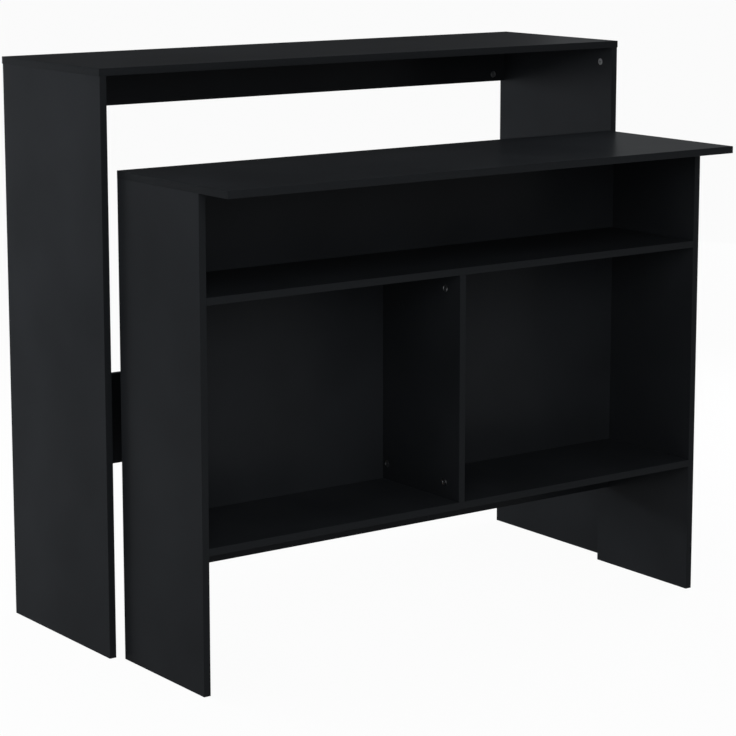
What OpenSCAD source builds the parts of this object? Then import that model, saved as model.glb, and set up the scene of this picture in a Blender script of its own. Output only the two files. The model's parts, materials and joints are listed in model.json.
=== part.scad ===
// Bar table in two free-standing pieces, made of black melamine-faced boards.
// The tall table stands behind. The low table, with its shelves, stands in front and slides in under it.
// X runs along the tables, Y from their front to their back, and Z is up.
// The origin is on the floor, midway along the length and midway from the front to the back.

/* [Boards] */
// Thickness of every board
board_t = 15; // [15:1:20]
// Thickness of the edging glued to the bare edges
edging_t = 0.5; // [0.4:0.1:1]
// How far a strip of edging ends short of its board's corners
edging_short = 0.1; // [0.05:0.05:0.3]

/* [Tall table] */
// Length of the tall table's top
tall_w = 1350; // [1000:10:1800]
// Depth of the tall table's top
tall_d = 400; // [350:10:500]
// Height of the tall table
tall_h = 1200; // [1100:10:1300]
// How far the top stands past each side board
top_proud = 1.5; // [0:0.5:4]
// Height of the apron under the top
apron_h = 100; // [80:5:150]
// Height of the stretcher board
stretcher_h = 200; // [120:10:250]
// Height of the stretcher's lower edge over the floor
stretcher_z = 300; // [150:10:450]

/* [Low table] */
// How far the low table's top lies below the tall one's
step_down = 200; // [150:10:300]
// Gap left at each side when the low table stands inside the tall one
nest_side_gap = 16; // [8:1:30]
// Distance from the low table's back to the tall table's front, as they stand
stand_gap = 18; // [5:1:60]
// How far the low table stands to the right of the middle, as it stands
low_shift = -6; // [-7:1:7]
// How far the low top reaches past the boards below it
low_overhang = 100; // [40:5:150]
// Clear height between the low top and the upper shelf
upper_space_h = 200; // [140:10:260]
// Height of the bottom shelf's underside over the floor
bottom_shelf_z = 280; // [180:10:320]
// How far the divider stands to the right of the low table's middle
divider_shift = -10; // [-60:5:60]
// How far the back boards stand in from the low table's back edge
back_inset = 20; // [10:1:30]
// Height of the rail under the bottom shelf
low_rail_h = 100; // [80:5:150]

/* [Cam fittings] */
// Diameter of a cam and of the bore that it turns in
cam_d = 15; // [14:0.5:18]
// Distance from a board's end to the middle of its cam
cam_end = 34; // [30:1:40]
// How far a cam reaches past the bolt's line
cam_reach = 4.5; // [4:0.1:5]
// How far a cam lies below the board's face
cam_sunk = 0.3; // [0.1:0.1:0.6]
// Clearance round a cam
cam_clear = 0.05; // [0.02:0.01:0.1]
// Spare depth under a cam
cam_spare = 0.5; // [0.2:0.1:1]
// Width of the channel in a cam for the bolt's head
cam_slot = 7.2; // [7:0.1:8]
// Length of a cam's cross-shaped recess
driver_l = 8; // [6:0.5:9]
// Width of a cam's cross-shaped recess
driver_w = 1.6; // [1:0.1:2.4]
// Depth of a cam's cross-shaped recess
driver_depth = 1.6; // [0.8:0.1:2]
// Diameter of a bolt's shank
shank_d = 7.6; // [7:0.1:7.8]
// Length of a bolt's shank
shank_l = 24; // [18:1:24]
// Diameter of a bolt's neck
neck_d = 4; // [3:0.1:4.5]
// Diameter of a bolt's head
head_d = 6.6; // [6:0.1:6.8]
// Length of a bolt's head
head_l = 4; // [3:0.5:5]
// Chamfer at the end of a bolt's head
head_chamfer = 1.2; // [1:0.1:1.5]
// Diameter of a bolt's screw thread
thread_d = 5; // [4.5:0.1:6]
// Depth of the thread, from crest to root
thread_depth = 0.5; // [0.2:0.1:0.8]
// Distance from one crest of the thread to the next
thread_pitch = 2.5; // [2:0.5:3]
// Length of a bolt's screw thread
thread_l = 10; // [7.5:0.5:11]
// Diameter of the channel for a bolt's shank
channel_d = 8; // [8:0.1:8.4]

/* [Dowels] */
// Diameter of a dowel's hole
dowel_hole_d = 8; // [6:0.5:10]
// Clearance round a dowel or a thread
dowel_clear = 0.05; // [0.02:0.01:0.1]
// Length of a dowel
dowel_l = 30; // [25:1:35]
// How deep a dowel sits in the board that is met face on
dowel_seat = 10; // [8:0.5:11]
// Spare depth past the end of a dowel or a thread
end_spare = 0.5; // [0.2:0.1:1]
// Chamfer at a dowel's ends
dowel_chamfer = 1; // [0.5:0.1:2]

/* [Places of the fittings] */
// Distance from the tall table's front edge to its cam
tall_cam_in = 40; // [30:1:60]
// Distance from the tall table's front and back edges to the last dowels
tall_dowel_in = 80; // [60:5:120]
// Height of the apron's cam over its lower edge
apron_cam_up = 16; // [12:1:30]
// Distance from the apron's upper edge to its end dowel
apron_dowel_down = 35; // [20:1:45]
// Distance from the stretcher's edges to its cams
stretcher_cam_in = 30; // [20:1:45]
// Distance from the low table's front and back edges to its cams
low_cam_in = 50; // [45:1:70]
// Number of dowels between the two cams at each end of a shelf
shelf_dowels = 2; // [1:1:3]
// Height of the upper back board's cams over its lower edge
upper_cam_up = 50; // [30:1:60]
// Distance from the upper back board's upper edge to its end dowels
upper_dowel_down = 60; // [50:1:70]
// Distance from the low rail's long edges to its cams and its end dowels
rail_fit_in = 30; // [20:1:35]
// Number of end dowels above, and below, the cam of a bay's back board
bay_dowels = 2; // [1:1:3]
// Distance from the end of a long edge to its last dowel
edge_fit_in = 120; // [80:10:200]
// How far one bay's fittings lie above or below the other bay's
bay_stagger = 40; // [20:5:60]

/* [Hidden] */
$fn = 48;
// How far a cut runs past the face that it starts from
over = 1;
melamine = [0.11, 0.11, 0.12];
edging_black = [0.16, 0.16, 0.17];
zinc = [0.72, 0.73, 0.75];
steel = [0.6, 0.6, 0.62];
beech = [0.8, 0.66, 0.46];
// How far the two arms of a cam's cross are turned from the bolt's line
cross_turns = [45, 135];

// Evenly spaced places strictly between two ends
function between(ends, n) = [for (k = [1:n]) ends[0] + (ends[1] - ends[0]) * k / (n + 1)];
function middle(ends) = (ends[0] + ends[1]) / 2;

// The whole: both tables as they stand, with the same depth of top
low_top_d = tall_d;
whole_d = tall_d + stand_gap + low_top_d;
tall_y = [whole_d / 2 - tall_d, whole_d / 2];
low_y = [-whole_d / 2 + low_overhang, -whole_d / 2 + low_top_d];
low_top_y = [-whole_d / 2, low_y[1]];

// Tall table
tall_under = tall_h - board_t;
tall_out = tall_w / 2 - top_proud;
tall_in = tall_out - board_t;
tall_mid = tall_out - board_t / 2;
apron_z = [tall_under - apron_h, tall_under];
stretcher_zs = [stretcher_z, stretcher_z + stretcher_h];
rail_y = [tall_y[1] - board_t, tall_y[1]];

// Low table, as wide as the tall one's inside allows
low_w = 2 * (tall_in - nest_side_gap);
low_h = tall_h - step_down;
low_under = low_h - board_t;
low_x = [low_shift - low_w / 2, low_shift + low_w / 2];
low_in_x = [low_x[0] + board_t, low_x[1] - board_t];
shelf_z = [low_under - upper_space_h - board_t, low_under - upper_space_h];
bottom_z = [bottom_shelf_z, bottom_shelf_z + board_t];
divider_x = [low_shift + divider_shift - board_t / 2, low_shift + divider_shift + board_t / 2];
back_y = [low_y[1] - back_inset - board_t, low_y[1] - back_inset];
upper_back_z = [shelf_z[1], low_under];
bay_z = [bottom_z[1], shelf_z[0]];
low_rail_z = [bottom_z[0] - low_rail_h, bottom_z[0]];

// A board is its lowest corner, its highest corner, and which of its low and high sides have edging
function board(x, y, z, low_edges, high_edges) = [
    [x[0], y[0], z[0]], [x[1], y[1], z[1]], low_edges, high_edges
];
function side_x(outer, inner, side) = side < 0 ? [-outer, -inner] : [inner, outer];
function low_side_x(side) = side < 0 ? [low_x[0], low_in_x[0]] : [low_in_x[1], low_x[1]];

top_all = [1, 1, 0];
front_back = [0, 1, 0];
bare = [0, 0, 0];
upright_edge = [0, 0, 1];

tall_top_board = board([-tall_w / 2, tall_w / 2], tall_y, [tall_under, tall_h], top_all, top_all);
function tall_side_board(side) = board(side_x(tall_out, tall_in, side), tall_y, [0, tall_under],
                                       front_back, front_back);
apron_board = board([-tall_in, tall_in], rail_y, apron_z, upright_edge, bare);
stretcher_board = board([-tall_in, tall_in], rail_y, stretcher_zs, upright_edge, upright_edge);
low_top_board = board(low_x, low_top_y, [low_under, low_h], top_all, top_all);
function low_side_board(side) = board(low_side_x(side), low_y, [0, low_under], front_back, front_back);
shelf_board = board(low_in_x, low_y, shelf_z, front_back, front_back);
bottom_board = board(low_in_x, low_y, bottom_z, front_back, front_back);
divider_board = board(divider_x, low_y, bay_z, front_back, front_back);
upper_back_board = board(low_in_x, back_y, upper_back_z, bare, bare);
left_back_board = board([low_in_x[0], divider_x[0]], back_y, bay_z, bare, bare);
right_back_board = board([divider_x[1], low_in_x[1]], back_y, bay_z, bare, bare);
low_rail_board = board(low_in_x, back_y, low_rail_z, upright_edge, bare);

tall_boards = concat([tall_top_board, apron_board, stretcher_board],
                     [for (side = [-1, 1]) tall_side_board(side)]);
low_boards = concat([low_top_board, shelf_board, bottom_board, divider_board, low_rail_board],
                    [for (side = [-1, 1]) low_side_board(side)]);

// A joint is the way from its plane into the board that ends there, the way that the board's cams face,
// the places of its bolts on that plane, and the places of its dowels there.
toward_front = [0, -1, 0];
toward_back = [0, 1, 0];
toward_floor = [0, 0, -1];
upward = [0, 0, 1];

tall_dowel_y = [tall_y[0] + tall_dowel_in, tall_y[1] - tall_dowel_in];
tall_top_joints = [for (side = [-1, 1]) [
    toward_floor, [-side, 0, 0],
    [[side * tall_mid, tall_y[0] + tall_cam_in, tall_under]],
    [for (y = concat(tall_dowel_y, [middle(tall_dowel_y)])) [side * tall_mid, y, tall_under]]
]];

rail_mid_y = middle(rail_y);
apron_edge_x = [-tall_in + edge_fit_in, tall_in - edge_fit_in];
apron_end_joints = [for (side = [-1, 1]) [
    [-side, 0, 0], toward_front,
    [[side * tall_in, rail_mid_y, apron_z[0] + apron_cam_up]],
    [[side * tall_in, rail_mid_y, apron_z[1] - apron_dowel_down]]
]];
apron_edge_joints = [[
    toward_floor, toward_front, [],
    [for (x = concat(apron_edge_x, [middle(apron_edge_x)])) [x, rail_mid_y, tall_under]]
]];
tall_apron_joints = concat(apron_end_joints, apron_edge_joints);

stretcher_cam_z = [stretcher_zs[0] + stretcher_cam_in, stretcher_zs[1] - stretcher_cam_in];
tall_stretcher_joints = [for (side = [-1, 1]) [
    [-side, 0, 0], toward_front,
    [for (z = stretcher_cam_z) [side * tall_in, rail_mid_y, z]],
    [[side * tall_in, rail_mid_y, middle(stretcher_cam_z)]]
]];

low_cam_y = [low_y[0] + low_cam_in, low_y[1] - low_cam_in];
back_mid_y = middle(back_y);
low_edge_x = [low_in_x[0] + edge_fit_in, low_in_x[1] - edge_fit_in];

// The low top is held by dowels in the sides and by cams in the back face of the upper back board
low_top_side_joints = [for (side = [-1, 1]) [
    toward_floor, [-side, 0, 0], [],
    [for (y = concat(low_cam_y, [middle(low_cam_y)])) [middle(low_side_x(side)), y, low_under]]
]];
low_top_back_joints = [[
    toward_floor, toward_back,
    [for (x = concat(low_edge_x, [middle(low_edge_x)])) [x, back_mid_y, low_under]],
    [for (end_x = low_edge_x) [middle([end_x, middle(low_edge_x)]), back_mid_y, low_under]]
]];
low_top_joints = concat(low_top_side_joints, low_top_back_joints);

// The two ends of a shelf, with cams in its underside
function shelf_joints(z) = [for (side = [-1, 1]) [
    [-side, 0, 0], toward_floor,
    [for (y = low_cam_y) [side < 0 ? low_in_x[0] : low_in_x[1], y, z]],
    [for (y = between(low_cam_y, shelf_dowels)) [side < 0 ? low_in_x[0] : low_in_x[1], y, z]]
]];
low_shelf_joints = shelf_joints(middle(shelf_z));
low_bottom_joints = shelf_joints(middle(bottom_z));

low_divider_joints = [for (end = [[bay_z[0], upward], [bay_z[1], toward_floor]]) [
    end[1], [-1, 0, 0],
    [for (y = low_cam_y) [middle(divider_x), y, end[0]]],
    [[middle(divider_x), middle(low_cam_y), end[0]]]
]];

// The two upright ends of a back board, with a cam in its back face
function back_end_joints(x, cam_z, dowel_z) = [for (end = [[x[0], 1], [x[1], -1]]) [
    [end[1], 0, 0], toward_back,
    [[end[0], back_mid_y, cam_z]],
    [for (z = dowel_z) [end[0], back_mid_y, z]]
]];
upper_back_joints = back_end_joints(low_in_x, upper_back_z[0] + upper_cam_up,
                                    [upper_back_z[1] - upper_dowel_down]);
function bay_joints(x, mid_z) = back_end_joints(x, mid_z, [
    for (end_z = bay_z) for (z = between([middle(bay_z), end_z], bay_dowels)) z + mid_z - middle(bay_z)
]);
left_back_joints = bay_joints([low_in_x[0], divider_x[0]], middle(bay_z) - bay_stagger / 2);
right_back_joints = bay_joints([divider_x[1], low_in_x[1]], middle(bay_z) + bay_stagger / 2);
rail_end_joints = back_end_joints(low_in_x, low_rail_z[0] + rail_fit_in, [low_rail_z[1] - rail_fit_in]);
rail_edge_joints = [[
    toward_floor, toward_back, [],
    [for (x = concat(low_edge_x, [middle(low_edge_x)])) [x, back_mid_y, bottom_z[0]]]
]];
low_rail_joints = concat(rail_end_joints, rail_edge_joints);
low_back_joints = concat(upper_back_joints, left_back_joints, right_back_joints, low_rail_joints);

module slab(low, high) translate(low) cube(high - low);

// A board without its edging
module core(b) slab(b[0] + edging_t * b[2], b[1] - edging_t * b[3]);

// One strip of edging, a little short of its board's corners in all but its thickness
module strip(low, high, short) slab(low + edging_short * short, high - edging_short * short);

// The strips of edging on one board
module strips(b) {
    low = b[0];
    high = b[1];
    in_low = low + edging_t * b[2];
    in_high = high - edging_t * b[3];
    if (b[2].y > 0) strip(low, [high.x, in_low.y, high.z], [1, 0, 1]);
    if (b[3].y > 0) strip([low.x, in_high.y, low.z], high, [1, 0, 1]);
    if (b[2].x > 0) strip([low.x, in_low.y, low.z], [in_low.x, in_high.y, high.z], [0, 1, 1]);
    if (b[3].x > 0) strip([in_high.x, in_low.y, low.z], [high.x, in_high.y, high.z], [0, 1, 1]);
    if (b[2].z > 0) strip(low, [high.x, high.y, in_low.z], [1, 1, 0]);
    if (b[3].z > 0) strip([low.x, low.y, in_high.z], high, [1, 1, 0]);
}

// Places what is drawn along +X, with its cam side up, at a point of a joint
module at_joint(point, into, face) {
    side = cross(face, into);
    multmatrix([
        [into.x, side.x, face.x, point.x],
        [into.y, side.y, face.y, point.y],
        [into.z, side.z, face.z, point.z],
        [0, 0, 0, 1]
    ]) children();
}

module rod(d, from, to) translate([from, 0, 0]) rotate([0, 90, 0]) cylinder(d = d, h = to - from);

// The holes in the board that ends at a joint: the cams' bores, the bolts' channels and the dowels' holes
module end_holes(joints) {
    cam_bore_h = board_t / 2 + cam_reach + cam_spare;
    for (joint = joints) {
        for (point = joint[2]) at_joint(point, joint[0], joint[1]) {
            translate([cam_end, 0, board_t / 2 - cam_bore_h]) cylinder(d = cam_d, h = cam_bore_h + over);
            rod(channel_d, -over, cam_end);
        }
        for (point = joint[3]) at_joint(point, joint[0], joint[1])
            rod(dowel_hole_d, -over, dowel_l - dowel_seat + end_spare);
    }
}

// The holes in the board that is met face on
module face_holes(joints) {
    for (joint = joints) {
        for (point = joint[2]) at_joint(point, joint[0], joint[1])
            rod(thread_d + 2 * dowel_clear, -thread_l - end_spare, over);
        for (point = joint[3]) at_joint(point, joint[0], joint[1])
            rod(dowel_hole_d, -dowel_seat - end_spare, over);
    }
}

// A cam: a zinc drum with a cross-shaped recess, and a channel that takes the bolt's head
module cam() {
    cam_top = board_t / 2 - cam_sunk;
    difference() {
        translate([cam_end, 0, -cam_reach]) cylinder(d = cam_d - 2 * cam_clear, h = cam_top + cam_reach);
        translate([cam_end, 0, -cam_slot / 2]) cylinder(d = cam_slot, h = cam_slot);
        translate([cam_end - cam_d, -cam_slot / 2, -cam_slot / 2]) cube([cam_d, cam_slot, cam_slot]);
        for (turn = cross_turns)
            translate([cam_end, 0, cam_top - driver_depth]) rotate([0, 0, turn])
                translate([-driver_l / 2, -driver_w / 2, 0]) cube([driver_l, driver_w, driver_depth + over]);
    }
}

// A bolt, turned in one piece: screw thread, shank, neck and head
module bolt() {
    turns = floor(thread_l / thread_pitch);
    root_r = thread_d / 2 - thread_depth;
    thread = [for (k = [0:turns - 1]) each [
        [root_r, -thread_l + k * thread_pitch],
        [thread_d / 2, -thread_l + (k + 0.5) * thread_pitch]
    ]];
    head_x = cam_end - head_l / 2;
    rotate([0, 90, 0]) rotate_extrude() polygon(concat(
        [[0, -thread_l]], thread,
        [[root_r, -thread_l + turns * thread_pitch], [root_r, 0], [shank_d / 2, 0], [shank_d / 2, shank_l],
         [neck_d / 2, shank_l], [neck_d / 2, head_x], [head_d / 2, head_x],
         [head_d / 2, head_x + head_l - head_chamfer], [head_d / 2 - head_chamfer, head_x + head_l],
         [0, head_x + head_l]]
    ));
}

module dowel() {
    r = dowel_hole_d / 2 - dowel_clear;
    low = -dowel_seat;
    high = dowel_l - dowel_seat;
    rotate([0, 90, 0]) rotate_extrude() polygon([
        [0, low], [r - dowel_chamfer, low], [r, low + dowel_chamfer],
        [r, high - dowel_chamfer], [r - dowel_chamfer, high], [0, high]
    ]);
}

module cams(joints) {
    color(zinc) for (joint = joints) for (point = joint[2]) at_joint(point, joint[0], joint[1]) cam();
}

module bolts(joints) {
    color(steel) for (joint = joints) for (point = joint[2]) at_joint(point, joint[0], joint[1]) bolt();
}

module dowels(joints) {
    color(beech) for (joint = joints) for (point = joint[3]) at_joint(point, joint[0], joint[1]) dowel();
}

// Tall table
module tall_top() {
    color(melamine) difference() {
        core(tall_top_board);
        face_holes(concat(tall_top_joints, apron_edge_joints));
    }
}

module tall_side(side) {
    at_side = side < 0 ? 0 : 1;
    color(melamine) difference() {
        core(tall_side_board(side));
        end_holes([tall_top_joints[at_side]]);
        face_holes([apron_end_joints[at_side], tall_stretcher_joints[at_side]]);
    }
}

module tall_side_left() tall_side(-1);
module tall_side_right() tall_side(1);

module tall_apron() {
    color(melamine) difference() {
        core(apron_board);
        end_holes(tall_apron_joints);
    }
}

module tall_stretcher() {
    color(melamine) difference() {
        core(stretcher_board);
        end_holes(tall_stretcher_joints);
    }
}

module tall_edging() {
    color(edging_black) for (b = tall_boards) strips(b);
}

module tall_top_cams() cams(tall_top_joints);
module tall_top_bolts() bolts(tall_top_joints);
module tall_top_dowels() dowels(tall_top_joints);
module tall_apron_cams() cams(tall_apron_joints);
module tall_apron_bolts() bolts(tall_apron_joints);
module tall_apron_dowels() dowels(tall_apron_joints);
module tall_stretcher_cams() cams(tall_stretcher_joints);
module tall_stretcher_bolts() bolts(tall_stretcher_joints);
module tall_stretcher_dowels() dowels(tall_stretcher_joints);

// Low table
module low_top() {
    color(melamine) difference() {
        core(low_top_board);
        face_holes(low_top_joints);
    }
}

module low_side(side) {
    at_side = side < 0 ? 0 : 1;
    bay = side < 0 ? left_back_joints[0] : right_back_joints[1];
    color(melamine) difference() {
        core(low_side_board(side));
        end_holes([low_top_side_joints[at_side]]);
        face_holes([low_shelf_joints[at_side], low_bottom_joints[at_side], bay,
                    upper_back_joints[at_side], rail_end_joints[at_side]]);
    }
}

module low_side_left() low_side(-1);
module low_side_right() low_side(1);

module low_shelf() {
    color(melamine) difference() {
        core(shelf_board);
        end_holes(low_shelf_joints);
        face_holes([low_divider_joints[1]]);
    }
}

module low_bottom_shelf() {
    color(melamine) difference() {
        core(bottom_board);
        end_holes(low_bottom_joints);
        face_holes(concat([low_divider_joints[0]], rail_edge_joints));
    }
}

module low_divider() {
    color(melamine) difference() {
        core(divider_board);
        end_holes(low_divider_joints);
        face_holes([left_back_joints[1], right_back_joints[0]]);
    }
}

module back_board(b, joints) {
    color(melamine) difference() {
        core(b);
        end_holes(joints);
    }
}

module low_back_upper() back_board(upper_back_board, concat(upper_back_joints, low_top_back_joints));
module low_back_left() back_board(left_back_board, left_back_joints);
module low_back_right() back_board(right_back_board, right_back_joints);
module low_rail() back_board(low_rail_board, low_rail_joints);

module low_edging() {
    color(edging_black) for (b = low_boards) strips(b);
}

module low_top_cams() cams(low_top_joints);
module low_top_bolts() bolts(low_top_joints);
module low_top_dowels() dowels(low_top_joints);
module low_shelf_cams() cams(low_shelf_joints);
module low_shelf_bolts() bolts(low_shelf_joints);
module low_shelf_dowels() dowels(low_shelf_joints);
module low_bottom_cams() cams(low_bottom_joints);
module low_bottom_bolts() bolts(low_bottom_joints);
module low_bottom_dowels() dowels(low_bottom_joints);
module low_divider_cams() cams(low_divider_joints);
module low_divider_bolts() bolts(low_divider_joints);
module low_divider_dowels() dowels(low_divider_joints);
module low_back_cams() cams(low_back_joints);
module low_back_bolts() bolts(low_back_joints);
module low_back_dowels() dowels(low_back_joints);

tall_top();
tall_side_left();
tall_side_right();
tall_apron();
tall_stretcher();
tall_edging();
tall_top_cams();
tall_top_bolts();
tall_top_dowels();
tall_apron_cams();
tall_apron_bolts();
tall_apron_dowels();
tall_stretcher_cams();
tall_stretcher_bolts();
tall_stretcher_dowels();
low_top();
low_side_left();
low_side_right();
low_shelf();
low_bottom_shelf();
low_divider();
low_back_upper();
low_back_left();
low_back_right();
low_rail();
low_edging();
low_top_cams();
low_top_bolts();
low_top_dowels();
low_shelf_cams();
low_shelf_bolts();
low_shelf_dowels();
low_bottom_cams();
low_bottom_bolts();
low_bottom_dowels();
low_divider_cams();
low_divider_bolts();
low_divider_dowels();
low_back_cams();
low_back_bolts();
low_back_dowels();
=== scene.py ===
"""The looks of a nesting bar table made of black melamine-faced boards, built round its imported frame."""

import json
import math

import bmesh
import bpy
from bpy.props import FloatProperty, FloatVectorProperty, IntProperty, PointerProperty
from mathutils import Matrix, Vector


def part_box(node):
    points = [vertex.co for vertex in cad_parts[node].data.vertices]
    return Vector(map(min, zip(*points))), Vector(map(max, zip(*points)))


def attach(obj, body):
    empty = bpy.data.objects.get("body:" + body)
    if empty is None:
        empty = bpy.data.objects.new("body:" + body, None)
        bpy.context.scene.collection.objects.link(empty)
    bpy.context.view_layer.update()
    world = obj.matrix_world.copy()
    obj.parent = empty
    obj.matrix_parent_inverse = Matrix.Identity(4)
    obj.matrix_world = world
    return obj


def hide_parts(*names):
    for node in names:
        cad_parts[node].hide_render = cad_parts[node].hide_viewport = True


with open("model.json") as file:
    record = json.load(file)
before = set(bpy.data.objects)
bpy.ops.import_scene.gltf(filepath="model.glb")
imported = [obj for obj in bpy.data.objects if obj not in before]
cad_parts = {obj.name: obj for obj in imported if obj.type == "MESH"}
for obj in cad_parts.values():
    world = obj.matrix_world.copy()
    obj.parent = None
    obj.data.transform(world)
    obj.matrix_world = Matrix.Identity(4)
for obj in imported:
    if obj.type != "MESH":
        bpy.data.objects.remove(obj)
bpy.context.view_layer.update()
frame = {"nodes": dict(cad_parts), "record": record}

bl_info = {
    "name": "Nesting bar table",
    "version": (1, 0, 0),
    "blender": (4, 5, 0),
    "location": "3D View > Sidebar > Bar table",
    "description": "Finishes the boards, edging, cams, bolts and dowels of a nesting bar table, "
                   "and sets its stage",
    "category": "Object",
}

TABLES = ("tall", "low")
SLOTS = {row["node"]: row["material_slot"] for row in frame["record"]["subparts"]}
BODIES = {
    node: body
    for body, nodes in frame["record"]["behaviour"]["bodies"].items()
    for node in nodes
}

# Corners that turn by more than this angle are shaded sharp
WIDEST_ARRIS_ANGLE = math.radians(35)

# How the edging's corners are rounded, and the sides of the arrow on a cam
ARRIS_SEGMENTS = 3
ROUND_PROFILE = 0.5
ARROW_SIDES = 3

# Metres within which points are one, faces touch, and a strip of edging belongs to its board
MERGE_DISTANCE = 1e-6
TOUCH = 2e-5
STRIP_REACH = 1e-3

# The part of a noise's range that tones and roughness are spread over, and the noise's finer layers
NOISE_SPAN = (0.3, 0.7)
SOFT_DETAIL = 1.0
MIDDLE_DETAIL = 2.0
FINE_DETAIL = 3.0

# How many times wider than deep the grains of the edging and of the metals are
EDGING_FLATNESS = 60
METAL_FLATNESS = 40

# The dark tone of a metal as a share of its colour
DARK_METAL = 0.8

# The lamps: what each is, its middle, the length of its sides and its power
LAMPS = {
    "top": ("the soft lamp overhead", (0.0, 0.1, 4.0), 3.0, 40.0),
    "front": ("the soft lamp in front", (-1.7, -4.0, 1.7), 2.4, 38.0),
    "high": ("the soft lamp high in front, which shines on to the shelves", (-1.7, -3.6, 3.0), 3.2, 84.0),
    "left": ("the soft lamp at the left", (-1.8, 0.6, 1.4), 1.0, 8.5),
    "right": ("the soft lamp at the right", (2.8, 0.5, 1.2), 1.5, 50.0),
    "back": ("the soft lamp behind, which shines in under the tall top", (-1.5, 2.5, 0.9), 1.0, 80.0),
    "panel": ("the large dim panel behind at the right, which gloss mirrors", (4.57, 2.11, 1.8), 4.0, 55.0),
}
MIRRORED_LAMP = "panel"
SENSOR_WIDTH = 36.0


class BoardFinish(bpy.types.PropertyGroup):
    """Black melamine facing on chipboard"""

    dark: FloatVectorProperty(
        name="Dark tone", description="Darker tone of the black facing",
        default=(0.0116, 0.0124, 0.0137), subtype="COLOR", min=0, max=1)
    light: FloatVectorProperty(
        name="Light tone", description="Lighter tone of the black facing",
        default=(0.0150, 0.0160, 0.0177), subtype="COLOR", min=0, max=1)
    gloss: FloatProperty(
        name="Gloss", description="Weight of the clear resin on the facing",
        default=0.075, subtype="FACTOR", min=0, max=1)
    resin_roughness: FloatProperty(
        name="Resin roughness", description="Roughness of the clear resin",
        default=0.28, subtype="FACTOR", min=0, max=1)
    smoothest: FloatProperty(
        name="Least roughness", description="Roughness where the facing is smoothest",
        default=0.3, subtype="FACTOR", min=0, max=1)
    roughest: FloatProperty(
        name="Most roughness", description="Roughness where the facing is roughest",
        default=0.36, subtype="FACTOR", min=0, max=1)
    pearl: FloatProperty(
        name="Pearl size", description="Size of the grains pressed into the facing",
        default=0.0011, unit="LENGTH", min=0.0003, max=0.01)
    pearl_depth: FloatProperty(
        name="Pearl depth", description="Depth of the grains pressed into the facing",
        default=0.00002, unit="LENGTH", min=0, max=0.001)
    mottle: FloatProperty(
        name="Mottle size", description="Size of the soft patches in tone and gloss",
        default=0.22, unit="LENGTH", min=0.01, max=1)
    facing: FloatProperty(
        name="Facing thickness", description="Thickness of the black facing on the chipboard",
        default=0.0006, unit="LENGTH", min=0.0001, max=0.001)
    chip: FloatProperty(
        name="Chip size", description="Size of the wood chips in a bare edge",
        default=0.0016, unit="LENGTH", min=0.0005, max=0.01)
    chip_dark: FloatVectorProperty(
        name="Dark chips", description="Darker chips in a bare edge",
        default=(0.16, 0.09, 0.045), subtype="COLOR", min=0, max=1)
    chip_light: FloatVectorProperty(
        name="Light chips", description="Lighter chips in a bare edge",
        default=(0.52, 0.36, 0.2), subtype="COLOR", min=0, max=1)
    chip_roughness: FloatVectorProperty(
        name="Chip roughness", description="Least and most roughness of a bare edge",
        size=2, default=(0.8, 0.95), min=0, max=1)


class EdgingShape(bpy.types.PropertyGroup):
    """Strips glued to the bare edges, trimmed flush and eased"""

    # Both tones are darker than the facing's: the edging's own black, with painted shade for the front edges
    dark: FloatVectorProperty(
        name="Dark tone", description="Darker tone of the edging",
        default=(0.0095, 0.0103, 0.0113), subtype="COLOR", min=0, max=1)
    light: FloatVectorProperty(
        name="Light tone", description="Lighter tone of the edging",
        default=(0.0126, 0.0134, 0.0146), subtype="COLOR", min=0, max=1)
    gloss: FloatProperty(
        name="Gloss", description="Weight of the clear resin on the edging",
        default=0.07, subtype="FACTOR", min=0, max=1)
    roughness: FloatProperty(
        name="Roughness", description="Mean roughness of the edging",
        default=0.4, subtype="FACTOR", min=0, max=1)
    unevenness: FloatProperty(
        name="Unevenness", description="How far the roughness varies either way",
        default=0.04, subtype="FACTOR", min=0, max=0.3)
    arris: FloatProperty(
        name="Arris", description="Radius that the trimmer leaves on the edging",
        default=0.0004, unit="LENGTH", min=0.0001, max=0.0005)
    corner_gap: FloatProperty(
        name="Corner gap", description="How far each strip is grown to meet its neighbours",
        default=0.0001, unit="LENGTH", min=0, max=0.0003)
    grain: FloatProperty(
        name="Grain size", description="Size of the grains in the edging's skin",
        default=0.0008, unit="LENGTH", min=0.0002, max=0.01)


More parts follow.
